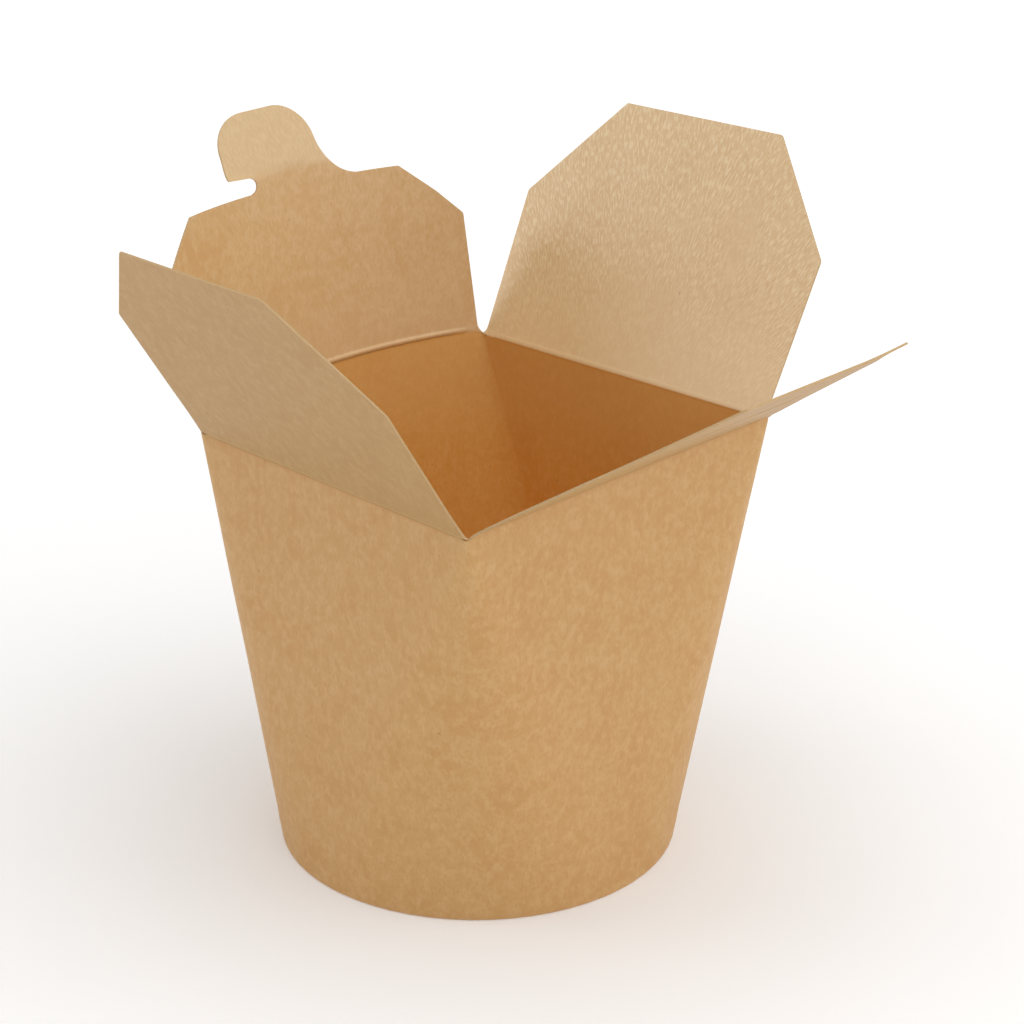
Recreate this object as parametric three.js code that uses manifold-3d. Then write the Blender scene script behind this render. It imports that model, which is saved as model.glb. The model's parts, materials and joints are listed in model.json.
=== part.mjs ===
// Empty noodle takeaway box of brown kraft paperboard, with its four top flaps standing open.
// Millimetres, +Z up, standing on z = 0. The tab flap is at +Y, the slot flap at -Y.

import * as THREE from 'three';
import { mergeVertices } from 'three/addons/utils/BufferGeometryUtils.js';
import Module from 'manifold-3d';

const wasm = await Module();
wasm.setup();

// Paperboard
const board = 0.45; // thickness of the sheet
const clearance = 0.3; // gap kept between separate pieces

// Round foot
const footRadius = 45;
const discRise = 6.8; // underside of the base disc above the table
const skirtFoot = 0.9; // lower edge of the disc's turned-down skirt
const hemHeight = 5.6; // how far the wall's turned-in hem reaches up behind the skirt

// Square mouth: its corners as [x, y], and the slightly leaning plane they lie in
const mouthCorners = {
  front: [-45.1, -45.6],
  right: [45.3, -45.1],
  back: [44.8, 44.9],
  left: [-42.4, 43.1],
};
const mouthHeight = 97.35;
const mouthLeanX = 0.025; // rise per mm towards +X
const mouthLeanY = -0.016; // rise per mm towards +Y
const cornerInset = 1.4; // where the rounding of a mouth corner begins
const creaseStagger = 0.5; // creases of the -Y and +Y flaps sit this much higher, the others lower
const rimDrop = 0.3; // the wall's cut edge lies this far under the crease
const sideSpread = 6; // degrees of foot circle that a straight side of the mouth runs down to, each way

// Flaps. angle is the lean above the horizontal, in degrees, and bow is how far the side bulges out.
// Each outline row is [distance from crease, half width at the near corner, half width at the far corner].
const flapStart = 0.5;
const sides = {
  slotFlap: {
    from: 'front', to: 'right', bow: 0, angle: 34.2, stagger: creaseStagger,
    rows: [[flapStart, 43.4, 43.4], [35.4, 43.3, 44.2], [62.5, 23.9, 23.9]],
  },
  rightFlap: {
    from: 'right', to: 'back', bow: 0, angle: 62.8, stagger: -creaseStagger,
    rows: [[flapStart, 43.4, 43.4], [36, 44.4, 45], [61.1, 23.2, 23.5]],
  },
  tabFlap: {
    from: 'back', to: 'left', bow: 9.65, angle: 78.8, stagger: creaseStagger,
    rows: [[flapStart, 43.6, 43], [28.4, 44.75, 43.8], [34.5, 38.8, 43.8], [41.5, 30.5, 35.1], [43.3, -32.6, 32.9]],
  },
  leftFlap: {
    from: 'left', to: 'front', bow: 0, angle: 58.1, stagger: -creaseStagger,
    rows: [[flapStart, 42.6, 42.6], [35.4, 42.9, 42.5], [37.3, 42.9, 41.05], [60.6, 22.9, 22.9]],
  },
};

// Closing tab, drawn on its flap: x towards the back corner, y from the crease
const foldLine = 44.8;
const foldGap = 0.25; // half the gap between the flap's neck and the tab
const tabTop = 61.1;
const tabPlainEdge = 10.8; // x of the edge towards the back corner
const tabHookEdge = -16; // x of the edge towards the left corner
const tabCornerRadius = 9.1;
const neckFillet = 10.3; // hollow curve from the flap's top edge up to the tab
const hookTip = [-16.6, 46.9];
const notchRadius = 1.75; // round end of the locking notch under the hook
const notchCentre = [-10.7, 44.6];
const tabLean = 17; // degrees that the tab leans out past its flap

// Slit of the slot flap, which takes the tab when the box is shut
const slitDistance = 42.3;
const slitOffset = -2.7;
const slitLength = 31;
const slitWidth = 1.2;

// Fineness of the faceted solids
const sideSteps = 9;
const bowedSideSteps = 16;
const cornerSteps = 9;

const kraftOutside = new THREE.MeshStandardMaterial({ color: 0xc69e6c, roughness: 0.82, metalness: 0 });
const kraftInside = new THREE.MeshStandardMaterial({ color: 0xc7a06e, roughness: 0.6, metalness: 0 });
const kraftBase = new THREE.MeshStandardMaterial({ color: 0xb98f5e, roughness: 0.8, metalness: 0 });

// Height of the mouth's plane over a point
function mouthPlane(x, y) {
  return mouthHeight + mouthLeanX * x + mouthLeanY * y;
}

// Frame of one side: its crease's middle, the direction along it, the way out and the way up
function sideFrame(side) {
  const [ax, ay] = mouthCorners[side.from];
  const [bx, by] = mouthCorners[side.to];
  const a = new THREE.Vector3(ax, ay, mouthPlane(ax, ay) + side.stagger);
  const b = new THREE.Vector3(bx, by, mouthPlane(bx, by) + side.stagger);
  const along = b.clone().sub(a).normalize();
  const out = new THREE.Vector3(along.y, -along.x, 0).normalize();
  const up = out.clone().cross(along);
  const corner = a.clone().add(b).multiplyScalar(0.5);
  const middle = corner.clone().addScaledVector(out, -board / 2);
  return { along, out, up, corner, middle, halfChord: a.distanceTo(b) / 2 };
}

// A point at arc length x on a side that bulges by its bow: shift along, shift out, and turn of its normal
function onBow(x, halfChord, bow) {
  if (bow < 0.01) {
    return { shift: x, bulge: 0, turn: 0 };
  }
  const radius = (halfChord * halfChord + bow * bow) / (2 * bow);
  const turn = x / radius;
  return { shift: radius * Math.sin(turn), bulge: radius * Math.cos(turn) - radius + bow, turn };
}

function halfArc(halfChord, bow) {
  if (bow < 0.01) {
    return halfChord;
  }
  const radius = (halfChord * halfChord + bow * bow) / (2 * bow);
  return radius * Math.asin(halfChord / radius);
}

// Stations round the mouth: the outer face's point, the direction the wall faces there, and the rim's height
function mouthStations() {
  const stations = [];
  const list = Object.values(sides);
  for (const side of list) {
    const { along, out, corner, halfChord } = sideFrame(side);
    const half = halfArc(halfChord, side.bow);
    const reach = half - cornerInset;
    const steps = side.bow > 1 ? bowedSideSteps : sideSteps;
    const facing = Math.atan2(out.y, out.x);
    side.stations = [];
    for (let i = 0; i <= steps; i += 1) {
      const x = -reach + (2 * reach * i) / steps;
      const { shift, bulge, turn } = onBow(x, halfChord, side.bow);
      const spread = THREE.MathUtils.degToRad(sideSpread) * (x / half);
      side.stations.push({
        x: corner.x + along.x * shift + out.x * bulge,
        y: corner.y + along.y * shift + out.y * bulge,
        facing: facing + turn + spread,
        stagger: side.stagger,
      });
    }
  }
  list.forEach((side, index) => {
    const next = list[(index + 1) % list.length];
    const start = side.stations[side.stations.length - 1];
    const end = next.stations[0];
    const [cx, cy] = mouthCorners[side.to];
    stations.push(...side.stations);
    const turning = THREE.MathUtils.euclideanModulo(end.facing - start.facing, 2 * Math.PI);
    for (let i = 1; i < cornerSteps; i += 1) {
      const t = i / cornerSteps;
      const near = (1 - t) * (1 - t);
      const control = 2 * t * (1 - t);
      const far = t * t;
      stations.push({
        x: near * start.x + control * cx + far * end.x,
        y: near * start.y + control * cy + far * end.y,
        facing: start.facing + turning * t,
        stagger: start.stagger + (end.stagger - start.stagger) * t,
      });
    }
  });
  for (const station of stations) {
    station.rim = mouthPlane(station.x, station.y) + station.stagger - rimDrop;
    station.nx = Math.cos(station.facing);
    station.ny = Math.sin(station.facing);
  }
  return stations;
}

// A point of the wall at height z, set in from the outer face by depth. Straight lines join mouth and foot.
function wallPoint(station, z, depth) {
  const share = z / station.rim;
  const x = (1 - share) * footRadius * station.nx + share * station.x - depth * station.nx;
  const y = (1 - share) * footRadius * station.ny + share * station.y - depth * station.ny;
  return [x, y, z];
}

// Turns a geometry inside out where its faces point in
function facingOut(geometry) {
  const position = geometry.attributes.position;
  const index = geometry.index;
  const a = new THREE.Vector3();
  const b = new THREE.Vector3();
  const c = new THREE.Vector3();
  let volume = 0;
  for (let i = 0; i < index.count; i += 3) {
    a.fromBufferAttribute(position, index.getX(i));
    b.fromBufferAttribute(position, index.getX(i + 1));
    c.fromBufferAttribute(position, index.getX(i + 2));
    volume += a.dot(b.cross(c));
  }
  if (volume < 0) {
    for (let i = 0; i < index.count; i += 3) {
      const first = index.getX(i);
      index.setX(i, index.getX(i + 2));
      index.setX(i + 2, first);
    }
  }
  return geometry;
}

function indexed(points, triangles) {
  const geometry = new THREE.BufferGeometry();
  geometry.setAttribute('position', new THREE.Float32BufferAttribute(points.flat(), 3));
  geometry.setIndex(triangles);
  return facingOut(geometry);
}

// Joins loops of equal length into a skin, quad by quad
function skin(triangles, loops, size, closed) {
  const rounds = closed ? loops.length : loops.length - 1;
  for (let row = 0; row < rounds; row += 1) {
    const lower = loops[row];
    const upper = loops[(row + 1) % loops.length];
    for (let i = 0; i < size; i += 1) {
      const j = (i + 1) % size;
      triangles.push(lower + i, lower + j, upper + j);
      triangles.push(lower + i, upper + j, upper + i);
    }
  }
}

// Wall: up the outer face, over the rim, down the inner face and round the hem that holds the disc's skirt
function wallGeometry(stations) {
  const hemOuter = 2 * board + 2 * clearance;
  const hemInner = hemOuter + board;
  const loops = [
    [(s) => 0, 0],
    [(s) => s.rim / 3, 0],
    [(s) => (2 * s.rim) / 3, 0],
    [(s) => s.rim, 0],
    [(s) => s.rim, board],
    [(s) => (2 * s.rim) / 3, board],
    [(s) => s.rim / 3, board],
    [(s) => board, board],
    [(s) => board, hemOuter],
    [(s) => hemHeight, hemOuter],
    [(s) => hemHeight, hemInner],
    [(s) => 0, hemInner],
  ];
  const points = [];
  const starts = [];
  for (const [height, depth] of loops) {
    starts.push(points.length);
    for (const station of stations) {
      points.push(wallPoint(station, height(station), depth));
    }
  }
  const triangles = [];
  skin(triangles, starts, stations.length, true);
  return indexed(points, triangles);
}

// Base disc with a turned-down skirt, like a shallow cap set into the foot
function discGeometry(stations) {
  const outer = board + clearance;
  const inner = outer + board;
  const loops = [
    [discRise + board, outer],
    [skirtFoot, outer],
    [skirtFoot, inner],
    [discRise, inner],
  ];
  const points = [];
  const starts = [];
  for (const [height, depth] of loops) {
    starts.push(points.length);
    for (const station of stations) {
      points.push(wallPoint(station, height, depth));
    }
  }
  const triangles = [];
  skin(triangles, starts, stations.length, false);
  const top = points.length;
  points.push([0, 0, discRise + board]);
  points.push([0, 0, discRise]);
  const last = starts[starts.length - 1];
  for (let i = 0; i < stations.length; i += 1) {
    const j = (i + 1) % stations.length;
    triangles.push(top, starts[0] + j, starts[0] + i);
    triangles.push(top + 1, last + i, last + j);
  }
  return indexed(points, triangles);
}

// A point of a flap's middle surface, and the way its outer face looks there
function flapPoint(side, x, y) {
  const { along, out, up, middle, halfChord } = side.frame;
  const { shift, bulge, turn } = onBow(x, halfChord, side.bow);
  const lean = THREE.MathUtils.degToRad(side.angle);
  const place = middle.clone()
    .addScaledVector(along, shift)
    .addScaledVector(out, bulge + y * Math.cos(lean))
    .addScaledVector(up, y * Math.sin(lean));
  const across = along.clone().multiplyScalar(Math.cos(turn)).addScaledVector(out, -Math.sin(turn));
  const rising = out.clone().multiplyScalar(Math.cos(lean)).addScaledVector(up, Math.sin(lean));
  return { place, outward: across.cross(rising).normalize() };
}

// A sheet of the given thickness over rows of [y, x at one edge, x at the other]
function sheetGeometry(side, rows, columns, thickness) {
  const points = [];
  for (const face of [0.5, -0.5]) {
    for (const [y, low, high] of rows) {
      for (let i = 0; i <= columns; i += 1) {
        const { place, outward } = flapPoint(side, low + ((high - low) * i) / columns, y);
        points.push(place.addScaledVector(outward, face * thickness).toArray());
      }
    }
  }
  const width = columns + 1;
  const layer = rows.length * width;
  const triangles = [];
  const quad = (a, b, c, d) => triangles.push(a, b, c, a, c, d);
  for (let row = 0; row + 1 < rows.length; row += 1) {
    for (let i = 0; i < columns; i += 1) {
      const near = row * width + i;
      quad(near, near + 1, near + width + 1, near + width);
      quad(layer + near + width, layer + near + width + 1, layer + near + 1, layer + near);
    }
    const low = row * width;
    const high = low + columns;
    quad(low, low + width, layer + low + width, layer + low);
    quad(high + width, high, layer + high, layer + high + width);
  }
  const far = (rows.length - 1) * width;
  for (let i = 0; i < columns; i += 1) {
    quad(i + 1, i, layer + i, layer + i + 1);
    quad(far + i, far + i + 1, layer + far + i + 1, layer + far + i);
  }
  return indexed(points, triangles);
}

function toManifold(geometry) {
  const bare = geometry.clone();
  bare.deleteAttribute('normal');
  bare.deleteAttribute('uv');
  const merged = mergeVertices(bare, 1e-4);
  const mesh = new wasm.Mesh({
    numProp: 3,
    vertProperties: new Float32Array(merged.attributes.position.array),
    triVerts: new Uint32Array(merged.index.array),
  });
  return new wasm.Manifold(mesh);
}

function fromManifold(solid) {
  const mesh = solid.getMesh();
  const geometry = new THREE.BufferGeometry();
  geometry.setAttribute('position', new THREE.BufferAttribute(new Float32Array(mesh.vertProperties), 3));
  geometry.setIndex(new THREE.BufferAttribute(new Uint32Array(mesh.triVerts), 1));
  return geometry;
}

// An outline extruded by depth about its own plane, set into the flap's plane at (x, y)
function platedOn(side, outline, depth, x, y) {
  const geometry = new THREE.ExtrudeGeometry(outline, { depth, bevelEnabled: false, curveSegments: 8 });
  geometry.translate(0, 0, -depth / 2);
  const { place, outward } = flapPoint(side, x, y);
  const across = side.frame.along;
  const rising = outward.clone().cross(across);
  geometry.applyMatrix4(new THREE.Matrix4().makeBasis(across, rising, outward).setPosition(place));
  return geometry;
}

function slitOutline() {
  const half = slitLength / 2;
  const end = slitWidth / 2;
  const outline = new THREE.Shape();
  outline.moveTo(-half, -end);
  outline.lineTo(half, -end);
  outline.absarc(half, 0, end, -Math.PI / 2, Math.PI / 2, false);
  outline.lineTo(-half, end);
  outline.absarc(-half, 0, end, Math.PI / 2, (3 * Math.PI) / 2, false);
  return outline;
}

// Rows of a flap's outline, with x running from the side's first corner to its second
function outlineRows(side) {
  return side.rows.map(([y, near, far]) => [y, -near, far]);
}

function slotFlapGeometry() {
  const side = sides.slotFlap;
  const plate = toManifold(sheetGeometry(side, outlineRows(side), 1, board));
  const slit = toManifold(platedOn(side, slitOutline(), 10 * board, slitOffset, slitDistance));
  return fromManifold(plate.subtract(slit));
}

// Hollow edge between the flap's top and the tab, as x at a height y
function filletEdge(y) {
  const rise = tabTop - tabCornerRadius - y;
  return tabPlainEdge + neckFillet - Math.sqrt(Math.max(0, neckFillet ** 2 - rise ** 2));
}

function notchEdge(y) {
  const rise = y - notchCentre[1];
  return notchCentre[0] + Math.sqrt(Math.max(0, notchRadius ** 2 - rise ** 2));
}

// The tab flap is a bowed sheet with a short neck that carries the tab
function tabFlapGeometry() {
  const side = sides.tabFlap;
  const sheet = toManifold(sheetGeometry(side, outlineRows(side), bowedSideSteps, board));
  const neckFoot = 42; // just under the flap's top edge where the hollow curve meets it
  const neckTop = foldLine - foldGap;
  const neckRows = [[neckFoot - 1, -filletEdge(neckFoot), -notchCentre[0]]];
  const neckSteps = 6;
  for (let i = 0; i <= neckSteps; i += 1) {
    const y = neckFoot + ((neckTop - neckFoot) * i) / neckSteps;
    neckRows.push([y, -filletEdge(y), -notchEdge(y)]);
  }
  const neck = toManifold(sheetGeometry(side, neckRows, 4, board - 0.1));
  return fromManifold(sheet.add(neck));
}

// Outline of the tab in its own plane: x towards the back corner, y up from the fold line
function tabOutline() {
  const foot = foldLine + foldGap;
  const shoulder = tabTop - tabCornerRadius;
  const outline = new THREE.Shape();
  const local = (y) => y - foldLine;
  const footAngle = Math.asin((foot - shoulder) / neckFillet);
  outline.moveTo(filletEdge(foot), local(foot));
  outline.absarc(tabPlainEdge + neckFillet, local(shoulder), neckFillet, Math.PI - footAngle, Math.PI, true);
  outline.absarc(tabPlainEdge - tabCornerRadius, local(shoulder), tabCornerRadius, 0, Math.PI / 2, false);
  outline.absarc(tabHookEdge + tabCornerRadius, local(shoulder), tabCornerRadius, Math.PI / 2, Math.PI, false);
  outline.lineTo(hookTip[0], local(hookTip[1]));
  const notchAngle = Math.asin((foot - notchCentre[1]) / notchRadius);
  outline.absarc(notchCentre[0], local(notchCentre[1]), notchRadius, Math.PI / 2, notchAngle, true);
  return outline;
}

// Frame of the tab's fold: its middle, the direction towards the back corner, and the tab's own directions
function foldFrame() {
  const side = sides.tabFlap;
  const hookEnd = flapPoint(side, -notchEdge(foldLine), foldLine).place;
  const plainEnd = flapPoint(side, -filletEdge(foldLine), foldLine).place;
  const across = plainEnd.clone().sub(hookEnd).normalize();
  const { along, out, up } = side.frame;
  const lean = THREE.MathUtils.degToRad(side.angle - tabLean);
  const rising = out.clone().multiplyScalar(Math.cos(lean)).addScaledVector(up, Math.sin(lean));
  rising.addScaledVector(across, -rising.dot(across)).normalize();
  const middleX = (notchEdge(foldLine) + filletEdge(foldLine)) / 2;
  const middle = hookEnd.add(plainEnd).multiplyScalar(0.5);
  return { middle, middleX, across, rising, facing: across.clone().cross(rising) };
}

function named(name, geometry, material) {
  const mesh = new THREE.Mesh(geometry, material);
  mesh.name = name;
  return mesh;
}

// The hinge line that a moving piece turns on. A positive turn closes it.
function hinged(mesh, position, axis) {
  mesh.userData.hinge = { position, axis };
  return mesh;
}

function closingTab() {
  const { middle, middleX, across, rising, facing } = foldFrame();
  const geometry = new THREE.ExtrudeGeometry(tabOutline(), { depth: board, bevelEnabled: false, curveSegments: 8 });
  geometry.translate(-middleX, 0, -board / 2);
  const mesh = named('closing_tab', geometry, kraftInside);
  mesh.applyMatrix4(new THREE.Matrix4().makeBasis(across, rising, facing).setPosition(middle));
  return hinged(mesh, middle.clone(), across.clone());
}

function flap(name, side, geometry) {
  const mesh = named(name, geometry, kraftInside);
  return hinged(mesh, side.frame.middle.clone(), side.frame.along.clone().negate());
}

function noodleBox() {
  for (const side of Object.values(sides)) {
    side.frame = sideFrame(side);
  }
  const stations = mouthStations();
  const box = new THREE.Group();
  box.add(named('carton_wall', wallGeometry(stations), kraftOutside));
  box.add(named('base_disc', discGeometry(stations), kraftBase));
  box.add(flap('slot_flap', sides.slotFlap, slotFlapGeometry()));
  box.add(flap('right_flap', sides.rightFlap, sheetGeometry(sides.rightFlap, outlineRows(sides.rightFlap), 1, board)));
  box.add(flap('tab_flap', sides.tabFlap, tabFlapGeometry()));
  box.add(flap('left_flap', sides.leftFlap, sheetGeometry(sides.leftFlap, outlineRows(sides.leftFlap), 1, board)));
  box.add(closingTab());
  return box;
}

// The origin is the middle of the space that the open box takes up, on the table
function centredOnTable(box) {
  const room = new THREE.Box3().setFromObject(box, true);
  const centre = room.getCenter(new THREE.Vector3());
  box.position.set(-centre.x, -centre.y, 0);
  return box;
}

export default centredOnTable(noodleBox());
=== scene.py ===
import json
import math

import bpy
import numpy as np
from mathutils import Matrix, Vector, noise


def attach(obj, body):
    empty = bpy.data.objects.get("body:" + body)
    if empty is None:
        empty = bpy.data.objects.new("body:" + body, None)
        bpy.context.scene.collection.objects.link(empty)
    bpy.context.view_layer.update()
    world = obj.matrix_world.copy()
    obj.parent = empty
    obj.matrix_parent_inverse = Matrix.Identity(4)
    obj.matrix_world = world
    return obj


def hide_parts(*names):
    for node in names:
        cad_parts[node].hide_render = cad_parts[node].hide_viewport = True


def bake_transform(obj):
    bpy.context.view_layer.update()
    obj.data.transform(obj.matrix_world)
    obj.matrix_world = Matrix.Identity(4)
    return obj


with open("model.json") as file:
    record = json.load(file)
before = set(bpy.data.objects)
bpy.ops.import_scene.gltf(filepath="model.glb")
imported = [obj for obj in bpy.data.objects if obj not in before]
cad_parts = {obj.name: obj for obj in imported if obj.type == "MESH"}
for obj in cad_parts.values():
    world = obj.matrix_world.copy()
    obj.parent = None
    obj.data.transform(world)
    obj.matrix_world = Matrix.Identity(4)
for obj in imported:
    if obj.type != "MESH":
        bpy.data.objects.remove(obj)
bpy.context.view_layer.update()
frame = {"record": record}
mm = 0.001
ring = frame["record"]["mounts"][0]["pos_m"]  # a point on the foot ring, straight in front of its middle


# the board all pieces are cut from

board = {
    "thickness": 0.45,  # mm
    "ringToMiddle": 44.1,  # mm from the mount's point to the foot's middle
    "groove": 0.07,  # depth of the score on the outside of a crease
    "beadMiddle": 0.5,
    "beadHalf": 0.75,
    "foldStart": -0.15,  # where wall ends and flap begins, from the crease
    "foldHold": 0.02,  # this much of a foot stays with the wall
    "foldEnd": 0.9,  # above this a flap is flat
    "cornerGap": 0.35,  # two neighbouring flaps meet this close to the mouth's corner
    "sharpAngle": 40,
}
footMiddle = np.array([ring[0] / mm, ring[1] / mm + board["ringToMiddle"]])


def smooth(value, low, high):
    share = min(1.0, max(0.0, (value - low) / (high - low)))
    return share * share * (3 - 2 * share)


def ripple(x, y, z, size, seed):
    return noise.noise(Vector((x / size + seed, y / size - 2 * seed, z / size + 3.7 * seed)))


# materials

finishes = {
    "kraftOutside": {
        "base": (0.615, 0.352, 0.126), "warm": (0.585, 0.305, 0.093), "pale": (0.68, 0.42, 0.182),
        "speck": (0.3, 0.15, 0.055), "roughness": 0.55, "specular": 0.5, "bump": 0.2,
    },
    # the flaps' downward faces: the same outside board painted darker, as painted shade
    "kraftUnderside": {
        "base": (0.465, 0.272, 0.092), "warm": (0.44, 0.243, 0.075), "pale": (0.52, 0.32, 0.125),
        "speck": (0.3, 0.15, 0.055), "roughness": 0.5, "specular": 0.5, "bump": 0.2,
    },
    "kraftInside": {
        "base": (0.695, 0.445, 0.19), "warm": (0.66, 0.39, 0.145), "pale": (0.75, 0.515, 0.26),
        "speck": (0.36, 0.19, 0.08), "roughness": 0.42, "specular": 0.9, "bump": 0.25,
        "streaks": 0.3, "glint": (0.8, 0.58, 0.33), "footPaintedLight": 0.2,
    },
    # the tab flap and its closing tab: as kraftInside, with the closing tab painted paler as painted light on its
    # more upward face
    "kraftTab": {
        "base": (0.695, 0.45, 0.195), "warm": (0.66, 0.39, 0.145), "pale": (0.755, 0.53, 0.27),
        "speck": (0.36, 0.19, 0.08), "roughness": 0.42, "specular": 0.9, "bump": 0.25,
        "streaks": 0.3, "glint": (0.8, 0.6, 0.36), "footPaintedLight": 0.2,
        "farTint": (0.655, 0.478, 0.257), "farFrom": 43.5, "farTo": 49, "farShare": 0.6,  # painted light: the closing tab painted paler beyond its fold, mm from the crease
    },
    # the right flap's inside: its low roughness is real gloss, its paler base than kraftInside is painted reflection
    "kraftGlossy": {
        "base": (0.725, 0.497, 0.24), "warm": (0.69, 0.445, 0.2), "pale": (0.775, 0.56, 0.3),
        "speck": (0.36, 0.19, 0.08), "roughness": 0.38, "specular": 1.0, "bump": 0.25,
        "streaks": 0.75, "glint": (0.85, 0.68, 0.405), "footPaintedLight": 0.3,
    },
    # the wall's inside and the disc's top: the deep orange tone is partly the board's own colour and partly painted
    # shade inside the carton; farTint paints the wall paler below the rim, as painted light
    "kraftLining": {
        "base": (0.74, 0.395, 0.094), "warm": (0.7, 0.345, 0.072), "pale": (0.785, 0.455, 0.14),
        "speck": (0.36, 0.19, 0.08), "roughness": 0.55, "specular": 0.35, "bump": 0.2,
        "farTint": (0.735, 0.455, 0.185), "farFrom": -34, "farTo": -6, "farShare": 0.42,
    },
    "kraftEdge": {
        "base": (0.56, 0.385, 0.195), "warm": (0.52, 0.33, 0.15), "pale": (0.63, 0.46, 0.27),
        "speck": (0.45, 0.28, 0.14), "roughness": 0.85, "specular": 0.25, "bump": 0.5,
    },
}


texture = {
    "uprightStretch": (1, 1, 0.85),
    "hairStretch": (1, 1, 0.55),
    "clouds": {"scale": 95, "detail": 2, "harshness": 0.5, "from": 0.4, "to": 0.68, "share": 0.6},
    "mottle": {"scale": 480, "detail": 3, "harshness": 0.5, "from": 0.36, "to": 0.72, "share": 0.7},
    "fibres": {"scale": 1700, "detail": 2, "harshness": 0.5, "from": 0.42, "to": 0.72, "share": 0.65},
    "dust": {"scale": 640, "detail": 2, "harshness": 0.4, "from": 0.75, "to": 0.81, "share": 0.45},
    "streaks": {"scale": 1, "detail": 2, "harshness": 0.55, "from": 0.46, "to": 0.64, "share": 1.0},
    "patches": {"scale": 55, "detail": 2, "harshness": 0.5, "from": 0.25, "to": 0.52},  # where the painted glint streaks show
    "streakReach": (0, 42),  # few painted glint streaks near the crease, most at the far edges
    "footPaintedLight": (26, 3),  # painted light on a flap's shaded foot, mm above the crease
    "creaseBeadHighlight": {"rise": (0.05, 0.3), "fall": (1.1, 0.8), "share": 0.5},  # pale painted highlight on the crease bead, mm above the crease
    "creaseShade": {"rise": (-0.75, -0.2), "fall": (0.12, 0.0), "share": 0.8},  # dark painted shade in the crease, on the crease
    "reliefOf": {"fibres": 0.6, "mottle": 0.5, "streaks": 0.5},
    "reliefDepth": 0.00008,
}


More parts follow.
